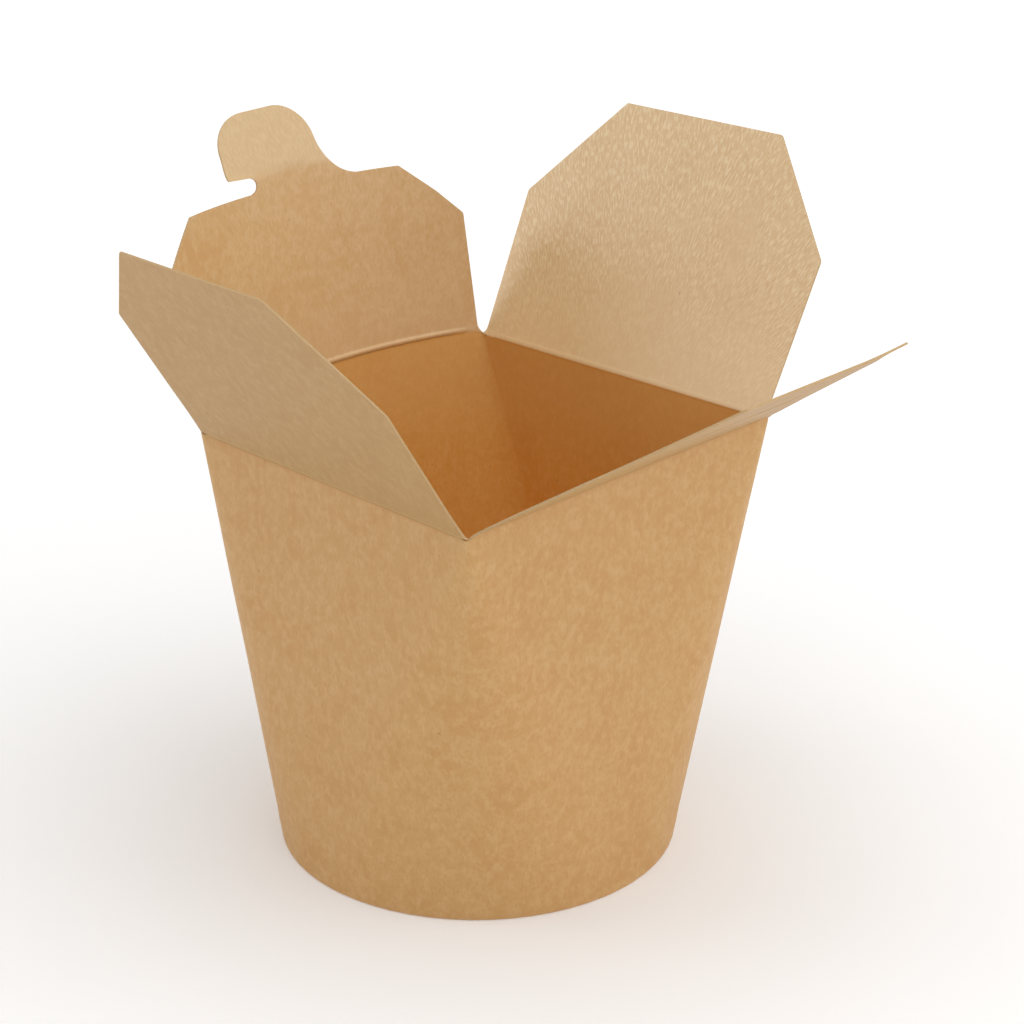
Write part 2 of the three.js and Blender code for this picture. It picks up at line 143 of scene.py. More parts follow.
def boardMaterial(name, look):
    material = bpy.data.materials.new(name)
    material.use_nodes = True
    nodes = material.node_tree.nodes
    links = material.node_tree.links
    shader = nodes["Principled BSDF"]
    shader.inputs["Roughness"].default_value = look["roughness"]
    shader.inputs["Specular IOR Level"].default_value = look["specular"]

    def attribute(label):
        node = nodes.new("ShaderNodeAttribute")
        node.attribute_name = label
        return node

    def stretched(source, scale):
        node = nodes.new("ShaderNodeVectorMath")
        node.operation = "MULTIPLY"
        links.new(source, node.inputs[0])
        node.inputs[1].default_value = scale
        return node.outputs["Vector"]

    def grain(vector, kind):
        node = nodes.new("ShaderNodeTexNoise")
        links.new(vector, node.inputs["Vector"])
        node.inputs["Scale"].default_value = texture[kind]["scale"]
        node.inputs["Detail"].default_value = texture[kind]["detail"]
        node.inputs["Roughness"].default_value = texture[kind]["harshness"]
        return node.outputs["Fac"]

    def span(value, low, high, top=1.0):
        node = nodes.new("ShaderNodeMapRange")
        node.interpolation_type = "SMOOTHSTEP"
        links.new(value, node.inputs["Value"])
        node.inputs["From Min"].default_value = low
        node.inputs["From Max"].default_value = high
        node.inputs["To Max"].default_value = top
        return node.outputs["Result"]

    def strong(value, kind):
        return span(value, texture[kind]["from"], texture[kind]["to"], texture[kind]["share"])

    def times(a, b):
        node = nodes.new("ShaderNodeMath")
        node.operation = "MULTIPLY"
        links.new(a, node.inputs[0])
        if isinstance(b, float):
            node.inputs[1].default_value = b
        else:
            links.new(b, node.inputs[1])
        return node.outputs[0]

    def plus(a, b):
        node = nodes.new("ShaderNodeMath")
        node.operation = "ADD"
        links.new(a, node.inputs[0])
        links.new(b, node.inputs[1])
        return node.outputs[0]

    def tinted(under, over, amount):
        node = nodes.new("ShaderNodeMix")
        node.data_type = "RGBA"
        links.new(amount, node.inputs["Factor"])
        if isinstance(under, tuple):
            node.inputs["A"].default_value = (*under, 1)
        else:
            links.new(under, node.inputs["A"])
        node.inputs["B"].default_value = (*over, 1)
        return node.outputs["Result"]

    place = attribute("boardPlace").outputs["Vector"]
    relief = texture["reliefOf"]
    clouds = grain(place, "clouds")
    mottle = grain(stretched(place, texture["uprightStretch"]), "mottle")
    fibres = grain(stretched(place, texture["hairStretch"]), "fibres")
    dust = grain(place, "dust")
    tint = tinted(look["base"], look["warm"], strong(clouds, "clouds"))
    tint = tinted(tint, look["pale"], strong(mottle, "mottle"))
    tint = tinted(tint, look["warm"], strong(fibres, "fibres"))
    tint = tinted(tint, look["speck"], strong(dust, "dust"))
    height = plus(times(fibres, relief["fibres"]), times(mottle, relief["mottle"]))
    gap = attribute("creaseGap").outputs["Fac"]  # mm from the crease, upwards
    # painted light: far ends of pieces painted paler, the closing tab beyond its fold and the lining near the rim
    if "farTint" in look:
        tint = tinted(tint, look["farTint"], span(gap, look["farFrom"], look["farTo"], look["farShare"]))
    if "streaks" in look:
        fan = attribute("streakPlace").outputs["Vector"]
        streaks = strong(grain(fan, "streaks"), "streaks")
        patches = grain(place, "patches")
        patches = span(patches, texture["patches"]["from"], texture["patches"]["to"], look["streaks"])
        reach = nodes.new("ShaderNodeSeparateXYZ")
        links.new(fan, reach.inputs[0])
        # painted highlights: pale glint streaks fanned across the board, painted into its colour
        glints = times(times(streaks, patches), span(reach.outputs["Y"], *texture["streakReach"]))
        tint = tinted(tint, look["glint"], glints)
        # painted light: a flap's foot painted paler, towards the glint colour, where it lies in shade
        tint = tinted(tint, look["glint"], times(span(gap, *texture["footPaintedLight"]), look["footPaintedLight"]))
        height = plus(height, times(glints, relief["streaks"]))
    # painted light: a pale highlight along the crease's bead and dark shade in the crease itself
    for mark, colour in (("creaseBeadHighlight", "pale"), ("creaseShade", "warm")):
        shape = times(span(gap, *texture[mark]["rise"]), span(gap, *texture[mark]["fall"]))
        tint = tinted(tint, look[colour], times(shape, texture[mark]["share"]))
    links.new(tint, shader.inputs["Base Color"])
    bump = nodes.new("ShaderNodeBump")
    bump.inputs["Strength"].default_value = look["bump"]
    bump.inputs["Distance"].default_value = texture["reliefDepth"]
    links.new(height, bump.inputs["Height"])
    links.new(bump.outputs["Normal"], shader.inputs["Normal"])
    return material


materials = {name: boardMaterial(name, look) for name, look in finishes.items()}
print("materials mixed:", ", ".join(materials))


# making a mesh

# kinds say which finish a face takes, places and streaks carry the textures, gaps are mm above the crease
def makeBoard(name, points, faces, kinds, finishNames, places, gaps, streaks):
    mesh = bpy.data.meshes.new(name)
    mesh.from_pydata((np.array(points) * mm).tolist(), [], faces)
    for finishName in finishNames:
        mesh.materials.append(materials[finishName])
    mesh.polygons.foreach_set("material_index", kinds)
    mesh.polygons.foreach_set("use_smooth", [True] * len(faces))
    boardPlace = mesh.attributes.new("boardPlace", "FLOAT_VECTOR", "POINT")
    boardPlace.data.foreach_set("vector", (np.array(places) * mm).ravel())
    creaseGap = mesh.attributes.new("creaseGap", "FLOAT", "POINT")
    creaseGap.data.foreach_set("value", gaps)
    streakPlace = mesh.attributes.new("streakPlace", "FLOAT_VECTOR", "POINT")
    streakPlace.data.foreach_set("vector", np.array(streaks).ravel())
    mesh.set_sharp_from_angle(angle=math.radians(board["sharpAngle"]))
    mesh.validate()
    mesh.update()
    piece = bpy.data.objects.new(name, mesh)
    bpy.context.scene.collection.objects.link(piece)
    return piece


# mouth and flaps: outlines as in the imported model, in mm

mouth = {
    "corners": {"front": (-45.1, -45.6), "right": (45.3, -45.1), "back": (44.8, 44.9), "left": (-42.4, 43.1)},
    "height": 97.35,
    "leanX": 0.025,
    "leanY": -0.016,
    "cornerInset": 1.4,
    "sideSpread": 6,  # degrees the wall's facing turns towards the ends of a side
    "markEnd": 5,  # mm from a corner, where the marks of a crease have their full strength
    "wallFade": 1.2,
    "flapFade": 1.4,
}
flaps = {
    "slot_flap": {
        "from": "front", "to": "right", "bow": 0, "angle": 34.2, "stagger": 0.5, "sag": 1.1,
        "rows": [(0, 43.4, 43.4), (35.4, 43.3, 44.2), (62.5, 23.9, 23.9)], "seed": 3,
        "inside": "kraftInside", "rounding": 0.8, "bead": 0.08, "topSlope": 0, "hollow": (1.1, 0.25),
    },
    "right_flap": {
        "from": "right", "to": "back", "bow": 0, "angle": 62.8, "stagger": -0.5, "sag": 0,
        "rows": [(0, 43.4, 43.4), (36, 44.4, 45), (61.1, 23.2, 23.5)], "seed": 5,
        "inside": "kraftGlossy", "rounding": 0.7, "bead": 0.07, "topSlope": 0, "hollow": (1.1, 1.1),
    },
    "tab_flap": {
        "from": "back", "to": "left", "bow": 9.65, "angle": 78.8, "stagger": 0.5, "sag": 0,
        "rows": [(0, 43.6, 43), (28.4, 44.75, 43.8), (34.5, 38.8, 43.8), (41.5, 30.5, 35.1), (43.3, -32.6, 32.9)],
        "seed": 7,
        "inside": "kraftTab", "rounding": 0.8, "bead": 0.24, "topSlope": 0.0285, "hollow": (1.1, 1.1),
    },
    "left_flap": {
        "from": "left", "to": "front", "bow": 0, "angle": 58.1, "stagger": -0.5, "sag": 0,
        "rows": [(0, 42.6, 42.6), (35.4, 42.9, 42.5), (37.3, 42.9, 41.05), (60.6, 22.9, 22.9)], "seed": 11,
        "inside": "kraftInside", "rounding": 1.0, "bead": 0.07, "topSlope": 0, "hollow": (1.1, 1.1),
    },
}


def mouthPlane(x, y):
    return mouth["height"] + mouth["leanX"] * x + mouth["leanY"] * y


def sideFrame(side):
    ax, ay = mouth["corners"][side["from"]]
    bx, by = mouth["corners"][side["to"]]
    a = np.array([ax, ay, mouthPlane(ax, ay) + side["stagger"]])
    b = np.array([bx, by, mouthPlane(bx, by) + side["stagger"]])
    along = (b - a) / np.linalg.norm(b - a)
    out = np.array([along[1], -along[0], 0.0])
    out /= np.linalg.norm(out)
    side["along"] = along
    side["out"] = out
    side["up"] = np.cross(out, along)
    side["corner"] = (a + b) / 2 + np.array([*footMiddle, 0])
    side["middle"] = side["corner"] - out * board["thickness"] / 2
    side["half"] = np.linalg.norm(b - a) / 2


def onBow(x, side):
    bow = side["bow"]
    if bow == 0:
        return x, 0.0, 0.0
    radius = (side["half"] ** 2 + bow ** 2) / (2 * bow)
    turn = x / radius
    return radius * math.sin(turn), radius * math.cos(turn) - radius + bow, turn


def halfArc(side):
    bow = side["bow"]
    if bow == 0:
        return side["half"]
    radius = (side["half"] ** 2 + bow ** 2) / (2 * bow)
    return radius * math.asin(side["half"] / radius)


for side in flaps.values():
    sideFrame(side)


# wall of the carton

wall = {
    "footRadius": 45,
    "straightSteps": 30,
    "bowedSteps": 48,
    "cornerSteps": 14,
    "rowStep": 5.5,
    "footRounding": 0.6,
    "hemHeight": 5.6,
    "hemDepth": 1.95,
    "hemPress": 0.08,  # the hem behind it presses the foot band out by this much
    "lapSide": "tab_flap",
    "lapEdge": 33.0,  # where the outer end of the sheet shows, along that side
    "lapWidth": 10.0,
    "lapStep": 0.3,
    "lapSharp": 0.12,  # mm over which the lap's edge steps down
    "swell": 0.18,  # mm of unevenness, over waves of swellSize
    "swellSize": 38,
    "lowRows": (1.8, 3.2, 4.6, 5.1, 5.4, 5.7, 6.1, 7.0, 8.5, 11),  # heights near the foot, mm
    "rimDrops": (0.22, 0.5, 1.2),  # and below the rim
    "rimBand": 2.5,
    "liningFoot": 8,
    "floorGap": 0.45,  # inside of the hem's fold
}


def mouthStations():
    stations = []
    names = list(flaps)
    for name in names:
        side = flaps[name]
        half = halfArc(side)
        reach = half - mouth["cornerInset"]
        steps = wall["bowedSteps"] if side["bow"] else wall["straightSteps"]
        facing = math.atan2(side["out"][1], side["out"][0])
        places = [-reach + 2 * reach * i / steps for i in range(steps + 1)]
        if name == wall["lapSide"]:
            places += [wall["lapEdge"], wall["lapEdge"] + wall["lapSharp"], wall["lapEdge"] - wall["lapWidth"]]
            places.sort()
        side["stations"] = []
        for x in places:
            shift, bulge, turn = onBow(x, side)
            spot = side["corner"] + side["along"] * shift + side["out"] * bulge
            fanned = math.radians(mouth["sideSpread"]) * x / half
            lap = 0.0
            if name == wall["lapSide"] and x <= wall["lapEdge"] + 0.01:
                lap = wall["lapStep"] * smooth(x, wall["lapEdge"] - wall["lapWidth"] - 6, wall["lapEdge"] - 4)
            side["stations"].append({
                "x": spot[0], "y": spot[1], "facing": facing + turn + fanned, "stagger": side["stagger"], "lap": lap,
                "quiet": 1 - smooth(half - abs(x), mouth["cornerInset"], mouth["markEnd"]),
            })
    for index, name in enumerate(names):
        side = flaps[name]
        start = side["stations"][-1]
        end = flaps[names[(index + 1) % 4]]["stations"][0]
        corner = np.array(mouth["corners"][side["to"]]) + footMiddle
        turning = (end["facing"] - start["facing"]) % (2 * math.pi)
        stations += side["stations"]
        for i in range(1, wall["cornerSteps"]):
            t = i / wall["cornerSteps"]
            near, control, far = (1 - t) ** 2, 2 * t * (1 - t), t * t
            stations.append({
                "x": near * start["x"] + control * corner[0] + far * end["x"],
                "y": near * start["y"] + control * corner[1] + far * end["y"],
                "facing": start["facing"] + turning * t,
                "stagger": start["stagger"] + (end["stagger"] - start["stagger"]) * t,
                "lap": 0.0, "quiet": 1.0,
            })
    for station in stations:
        crease = mouthPlane(station["x"] - footMiddle[0], station["y"] - footMiddle[1]) + station["stagger"]
        station["crease"] = crease
        station["rim"] = crease + board["foldStart"]
        station["nx"] = math.cos(station["facing"])
        station["ny"] = math.sin(station["facing"])
    return stations


def wallPoint(station, z, depth):
    share = z / station["rim"]
    x = (1 - share) * (footMiddle[0] + wall["footRadius"] * station["nx"]) + share * station["x"]
    y = (1 - share) * (footMiddle[1] + wall["footRadius"] * station["ny"]) + share * station["y"]
    return (x - depth * station["nx"], y - depth * station["ny"], z)


def outerDepth(station, z):
    press = wall["hemPress"] * (1 - smooth(z, wall["hemHeight"] - 0.5, wall["hemHeight"] + 0.4))
    score = board["groove"] * smooth(z, station["rim"] - 0.5, station["rim"])
    swell = wall["swell"] * ripple(station["x"], station["y"], z, wall["swellSize"], 1.3)
    swell *= smooth(z, 8, 30) * (1 - smooth(z, station["rim"] - 25, station["rim"] - 3))
    return score - press - station["lap"] - swell


stations = mouthStations()


def cartonShell():
    hem, rounding, thick = wall["hemDepth"], wall["footRounding"], board["thickness"]
    band, lowest, lining = wall["rimBand"], wall["lowRows"][-1], wall["liningFoot"]
    count = int(80 / wall["rowStep"])
    rows = []  # height and depth of each loop, as functions of the station, and its finish

    def addRow(height, depth, kind):
        rows.append((height, depth, kind))

    addRow(lambda s: wall["hemHeight"], lambda s: hem, 1)
    addRow(lambda s: 0.3, lambda s: hem, 1)
    addRow(lambda s: 0.0, lambda s: hem - 0.3, 1)
    for i in range(5):
        turn = math.radians(90 * i / 4)
        addRow(lambda s, t=turn: rounding * (1 - math.cos(t)),
               lambda s, t=turn: rounding * (1 - math.sin(t)) - wall["hemPress"] * math.sin(t), 1)
    for z in wall["lowRows"]:
        addRow(lambda s, z=z: z, lambda s, z=z: outerDepth(s, z), 1)
    for i in range(1, count + 1):
        climb = lambda s, i=i: lowest + (s["rim"] - band - lowest) * i / count
        addRow(climb, lambda s, z=climb: outerDepth(s, z(s)), 1)
    for drop in (*reversed(wall["rimDrops"]), 0.0):
        addRow(lambda s, d=drop: s["rim"] - d, lambda s, d=drop: outerDepth(s, s["rim"] - d), 1)
    edgeRow = len(rows)
    for drop in (0.0, *wall["rimDrops"], band):
        addRow(lambda s, d=drop: s["rim"] - d, lambda s: thick, 0)
    for i in range(1, count + 1):
        descent = lambda s, i=i: s["rim"] - band - (s["rim"] - band - lining) * i / count
        addRow(descent, lambda s, z=descent: outerDepth(s, z(s)) * 0.5 + thick, 0)
    addRow(lambda s: wall["floorGap"], lambda s: thick, 0)
    addRow(lambda s: wall["floorGap"], lambda s: hem - thick, 0)
    addRow(lambda s: wall["hemHeight"], lambda s: hem - thick, 0)
    points, places, gaps, faces, kinds = [], [], [], [], []
    for height, depth, kind in rows:
        for station in stations:
            z = height(station)
            points.append(wallPoint(station, z, depth(station)))
            places.append(points[-1])
            gaps.append(z - station["crease"] - mouth["wallFade"] * station["quiet"])
    size = len(stations)
    for row in range(len(rows)):
        after = (row + 1) % len(rows)
        kind = 2 if after in (0, edgeRow) else (rows[row][2] if row < edgeRow else 0)
        for i in range(size):
            j = (i + 1) % size
            faces.append((row * size + i, row * size + j, after * size + j, after * size + i))
            kinds.append(kind)
    streaks = [(p[0] * 1.6, p[1] * 1.6, p[2] * 0.35) for p in points]
    return makeBoard("carton_shell", points, faces, kinds, ["kraftLining", "kraftOutside", "kraftEdge"],
                     places, gaps, streaks)


cartonPiece = cartonShell()
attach(cartonPiece, "carton")
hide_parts("carton_wall")
print("wall folded:", len(cartonPiece.data.polygons), "faces")


disc = {
    "top": 7.25,  # mm above the floor
    "inset": 0.75,
    "skirtFoot": 0.9,
    "rounding": 0.4,
    "loops": (0.93, 0.8, 0.6, 0.4, 0.2),
    "dish": 0.25,  # the top face lies this much lower in its middle
    "wave": 0.12,
    "waveSize": 17,
}


def footDisc():
    inset, thick, top, foot = disc["inset"], board["thickness"], disc["top"], disc["skirtFoot"]
    loops = [(top - thick, inset + thick), (foot, inset + thick), (foot, inset),
             (top - 0.35, inset), (top - 0.1, inset + 0.1), (top, inset + disc["rounding"])]
    size = len(stations)
    points, faces, kinds = [], [], []
    for z, depth in loops:
        points += [wallPoint(station, z, depth) for station in stations]
    for share in disc["loops"]:
        dish = disc["dish"] * (1 - share)
        for station in stations:
            x, y, z = wallPoint(station, top, inset + disc["rounding"])
            wave = disc["wave"] * ripple(x, y, 0, disc["waveSize"], 2.2) * (1 - share)
            points.append((footMiddle[0] + (x - footMiddle[0]) * share,
                           footMiddle[1] + (y - footMiddle[1]) * share, top - dish + wave))
    rowCount = len(points) // size
    for row in range(rowCount - 1):
        for i in range(size):
            j = (i + 1) % size
            faces.append((row * size + i, row * size + j, (row + 1) * size + j, (row + 1) * size + i))
            kinds.append(2 if row == 1 else 0)
    topMiddle = len(points)
    points.append((footMiddle[0], footMiddle[1], top - disc["dish"]))
    underMiddle = len(points)
    points.append((footMiddle[0], footMiddle[1], top - thick - disc["dish"]))
    last = (rowCount - 1) * size
    for i in range(size):
        j = (i + 1) % size
        faces += [(last + i, last + j, topMiddle), (j, i, underMiddle)]
        kinds += [0, 1]
    streaks = [(p[0] * 1.4, p[1] * 0.4, p[2]) for p in points]
    return makeBoard("foot_disc", points, faces, kinds, ["kraftLining", "kraftOutside", "kraftEdge"],
                     points, [-60.0] * len(points), streaks)  # far below any crease


discPiece = footDisc()
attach(discPiece, "carton")
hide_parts("base_disc")
print("foot disc set in")


# flaps

sheets = {
    "columns": 40,
    "rowStep": 2.2,
    "wave": 0.08,  # mm of unevenness
    "fanMiddle": (-6, -38),  # the painted gloss streaks spread from here, in mm on the flap
    "fanWidth": 3.0,
    "fanLength": 0.5,
    "arcSteps": 6,  # of a rounded corner
    "feetRows": (0.0, 0.15, 0.3, 0.5, 0.7, 0.9, 1.1, 1.3, 1.7, 2.4, 3.2),  # mm above the crease
    "topRows": (1.2, 0.7, 0.4, 0.2, 0.07, 0.001),  # mm below the top edge
    "shoulderRows": (-0.7, -0.25, 0.25, 0.7),  # mm from a shoulder
    "footTaper": 0.7,  # mm over which a foot hollows out beside the corner
    "underPlace": 30,  # the underside takes its texture from this far away, mm
}


def roundedOutline(corners, radius):
    outline = []
    for i, corner in enumerate(corners):
        before = np.array(corners[i - 1], float)
        here = np.array(corner, float)
        after = np.array(corners[(i + 1) % len(corners)], float)
        backWay, aheadWay = before - here, after - here
        backLength, aheadLength = np.linalg.norm(backWay), np.linalg.norm(aheadWay)
        cosine = float(backWay @ aheadWay) / (backLength * aheadLength)
        reach = radius / math.tan(math.acos(max(-1, min(1, cosine))) / 2)
        reach = min(reach, 0.4 * backLength, 0.4 * aheadLength)
        start, end = here + backWay / backLength * reach, here + aheadWay / aheadLength * reach
        for k in range(sheets["arcSteps"] + 1):
            t = k / sheets["arcSteps"]
            outline.append((1 - t) ** 2 * start + 2 * t * (1 - t) * here + t * t * end)
    return outline


def limitsAt(outline, y, slope):
    hits = []
    for i, a in enumerate(outline):
        b = outline[(i + 1) % len(outline)]
        over = a[1] - y - slope * a[0]
        under = b[1] - y - slope * b[0]
        if over * under <= 0 and abs(over - under) > 1e-9:
            hits.append(a[0] + (b[0] - a[0]) * over / (over - under))
    return min(hits), max(hits)


# a foot reaches out to its corner of the mouth and narrows to the flap above it
def filletWidened(side, y, x):
    hollow = side["hollow"][0 if x < 0 else 1]
    drawnIn = hollow * (1 - math.exp(-(y - board["foldStart"]) / sheets["footTaper"]))
    cornerX = halfArc(side) - board["cornerGap"] - drawnIn
    share = 1 - smooth(y, 1.5, 13 - 4.5 * hollow)
    return math.copysign(abs(x) + max(0.0, cornerX - abs(x)) * share, x)


def flapRows(side):
    rows = side["rows"]
    corners = [(-near, y) for y, near, far in rows] + [(far, y) for y, near, far in reversed(rows)]
    corners[0] = (corners[0][0], -3)
    corners[-1] = (corners[-1][0], -3)
    outline = roundedOutline(corners, side["rounding"])
    slope = side["topSlope"]
    top = rows[-1][0] - slope * rows[-1][2]
    heights = [board["foldStart"], *sheets["feetRows"], *np.arange(4.4, top - 2, sheets["rowStep"])]
    heights += [y + step for y, near, far in rows[1:-1] for step in sheets["shoulderRows"]]
    heights += [top - drop for drop in sheets["topRows"]]
    heights = sorted(set(round(float(y), 4) for y in heights if y < top))
    result = []
    for y in heights:
        tilt = slope * smooth(y, 16, 42)  # the rows turn parallel to the top edge on their way up
        low, high = limitsAt(outline, y, tilt)
        result.append((y, tilt, filletWidened(side, y, low), filletWidened(side, y, high)))
    return result


# how far a foot is drawn in and levelled with its neighbour, close to a corner of the mouth
def roundTheCorner(side, x, y):
    reach = mouth["cornerInset"]
    beyond = 1 - math.sqrt(max(0.0, min(1.0, (halfArc(side) - abs(x)) / reach)))
    inward = reach * beyond * beyond * (1 - smooth(y, 0, 3))
    level = -2 * side["stagger"] * beyond * (1 - smooth(y, 0, 1.6))
    return inward, level


# mm the flap sags outwards
def sagAt(side, x, y):
    return side["sag"] * smooth(y, 0, 50) * (1 - 1.25 * smooth(x, 8, 46))


def sheetPoint(side, x, y, face):
    lean = math.radians(side["angle"])
    shift, bulge, turn = onBow(x, side)
    rising = side["out"] * math.cos(lean) + side["up"] * math.sin(lean)
    inward, level = roundTheCorner(side, x, y)
    spot = side["middle"] + side["along"] * shift + side["out"] * (bulge - inward) + side["up"] * level
    spot = spot + (rising if y > 0 else side["up"]) * y
    across = side["along"] * math.cos(turn) - side["out"] * math.sin(turn)
    share = smooth(y, board["foldStart"], board["foldEnd"])
    climb = side["up"] * (1 - share) + rising * share
    outward = np.cross(across, climb)
    outward /= np.linalg.norm(outward)
    wave = sheets["wave"] * ripple(x, y, 0, 26, side["seed"]) * smooth(y, 2, 14)
    lift = face * board["thickness"] / 2 + wave + sagAt(side, x, y)
    if face > 0:
        lift -= board["groove"] * (1 - smooth(y, -0.1, 0.5))
    else:
        away = abs(y - board["beadMiddle"]) / board["beadHalf"]
        ends = smooth(halfArc(side) - abs(x), 1.5, 9)
        lift -= side["bead"] * ends * max(0.0, 1 - away * away) ** 2
    unfolded = side["middle"] + side["along"] * shift + side["out"] * bulge + side["up"] * y
    return spot + outward * lift, unfolded - side["out"] * (0 if face > 0 else sheets["underPlace"])


def streakPlaceAt(x, y):
    dx, dy = x - sheets["fanMiddle"][0], y - sheets["fanMiddle"][1]
    return (math.atan2(dx, dy) * 60 * sheets["fanWidth"], math.hypot(dx, dy) * sheets["fanLength"], 0.0)


def spread(low, high, columns):
    return [low + (high - low) * i / columns for i in range(columns + 1)]


# a row is its level, its tilt, its x places and the column where it starts; face 1 is the inside, -1 the underside
def sheetMesh(name, side, rows, finishNames, placeOf=sheetPoint):
    points, places, gaps, streaks, faces, kinds = [], [], [], [], [], []
    index = {}
    for face in (1, -1):
        for row, (level, tilt, xs, first) in enumerate(rows):
            for i, x in enumerate(xs):
                y = level + tilt * x
                spot, unfolded = placeOf(side, x, y, face)
                if face > 0:
                    index[row, first + i] = len(points)
                points.append(spot)
                places.append(unfolded)
                gaps.append(y + mouth["flapFade"] * (1 - smooth(halfArc(side) - abs(x), 1, mouth["markEnd"])))
                streaks.append(streakPlaceAt(x, y))
    layer = len(points) // 2
    rim = set()
    for row in range(len(rows) - 1):
        below, above = rows[row], rows[row + 1]
        start = max(below[3], above[3])
        stop = min(below[3] + len(below[2]), above[3] + len(above[2])) - 1
        for i in range(start, stop):
            a, b, c, d = index[row, i], index[row, i + 1], index[row + 1, i + 1], index[row + 1, i]
            faces += [(a, b, c, d), (layer + d, layer + c, layer + b, layer + a)]
            kinds += [0, 1]
            for edge in ((a, b), (b, c), (c, d), (d, a)):
                if edge[::-1] in rim:
                    rim.remove(edge[::-1])
                else:
                    rim.add(edge)
    for a, b in sorted(rim):
        faces.append((b, a, layer + a, layer + b))
        kinds.append(2)
    return makeBoard(name, points, faces, kinds, finishNames, places, gaps, streaks)


flapPieces = {}
for name in ("slot_flap", "right_flap", "left_flap"):
    side = flaps[name]
    rows = [(level, tilt, spread(low, high, sheets["columns"]), 0) for level, tilt, low, high in flapRows(side)]
    flapPieces[name] = sheetMesh(name + "_board", side, rows, ["kraftUnderside", side["inside"], "kraftEdge"])
print("three plain flaps cut")


# slit of the slot flap

slit = {
    "distance": 42.3,  # mm from the crease
    "offset": -2.7,
    "length": 31,
    "width": 1.2,
    "steps": 10,
    "cutterReach": 3,
}


def cutSlit(piece, side):
    half, end = slit["length"] / 2, slit["width"] / 2
    middleX, middleY = slit["offset"], slit["distance"]
    outline = []
    for middle, first in ((half, -90), (-half, 90)):
        for k in range(slit["steps"] + 1):
            turn = math.radians(first + 180 * k / slit["steps"])
            outline.append((middleX + middle + end * math.cos(turn), middleY + end * math.sin(turn)))
    points = []
    lean = math.radians(side["angle"])
    rising = side["out"] * math.cos(lean) + side["up"] * math.sin(lean)
    inward = np.cross(side["along"], rising)
    for lift in (-slit["cutterReach"], slit["cutterReach"]):
        points += [side["middle"] + side["along"] * x + rising * y + inward * lift for x, y in outline]
    count = len(outline)
    faces = [tuple(range(count - 1, -1, -1)), tuple(range(count, 2 * count))]
    faces += [(i, (i + 1) % count, count + (i + 1) % count, count + i) for i in range(count)]
    cutter = makeBoard("slit_cutter", points, faces, [2] * len(faces), ["kraftUnderside", "kraftInside", "kraftEdge"],
                       points, [9.0] * len(points), points)
    cut = piece.modifiers.new("slit", "BOOLEAN")
    cut.object = cutter
    cut.operation = "DIFFERENCE"
    cut.solver = "EXACT"
    bpy.context.view_layer.update()
    evaluated = piece.evaluated_get(bpy.context.evaluated_depsgraph_get())
    piece.data = bpy.data.meshes.new_from_object(evaluated)
    piece.modifiers.clear()
    bpy.data.objects.remove(cutter)


cutSlit(flapPieces["slot_flap"], flaps["slot_flap"])
print("slit cut")


# tab flap and its closing tab

tab = {
    "foldLine": 44.8,
    "top": 61.1,
    "plainEdge": 10.8,
    "hookEdge": -16,
    "cornerRadius": 9.1,
    "neckFillet": 10.3,
    "hookTip": (-16.6, 46.9),
    "notchRadius": 1.75,
    "notchMiddle": (-10.7, 44.6),
    "lean": 17,
    "bend": 1.6,  # mm over which the board bends into the tab
    "columns": 22,
    "besideNeck": (12, 18, 18),  # columns of the tab flap before, under and after its neck
    "neckShares": (0.06, 0.15, 0.27, 0.4, 0.55, 0.7, 0.85, 1.0),
    "foldRows": (44.95, 45.2, 45.5, 45.8, 46.05, 46.2, 46.3),  # mm from the crease, as the next ones
    "hookShares": (0.1, 0.3, 0.5, 0.7, 0.85, 0.95, 1.0),
    "hookRows": (47.02, 47.2, 47.5, 48.2, 49.5, 51),
    "hookRounding": 0.25,
    "arcSteps": 12,
    "curl": 0.2,
    "curlSize": 14,
}


def filletEdge(y):
    rise = tab["top"] - tab["cornerRadius"] - y
    return tab["plainEdge"] + tab["neckFillet"] - math.sqrt(max(0, tab["neckFillet"] ** 2 - rise ** 2))


def notchEdge(y):
    rise = y - tab["notchMiddle"][1]
    return tab["notchMiddle"][0] + math.sqrt(max(0, tab["notchRadius"] ** 2 - rise ** 2))


def neckRow(level, tilt):
    low, high = -filletEdge(level), -notchEdge(level)
    for i in range(4):
        low, high = -filletEdge(level + tilt * low), -notchEdge(level + tilt * high)
    return level, tilt, low, high


def tabFlapRows():
    side = flaps["tab_flap"]
    before, under, after = tab["besideNeck"]
    plain = flapRows(side)
    top, slope = plain[-1][0], plain[-1][1]
    neckLow, neckHigh = neckRow(top, slope)[2:]
    rows = []
    for level, tilt, low, high in plain:
        xs = spread(low, neckLow, before)[:-1] + spread(neckLow, neckHigh, under) + spread(neckHigh, high, after)[1:]
        rows.append((level, tilt, xs, 0))
    for share in tab["neckShares"]:
        level, tilt, low, high = neckRow(top + (tab["foldLine"] - top) * share, slope * (1 - share))
        rows.append((level, tilt, spread(low, high, under), before))
    return rows


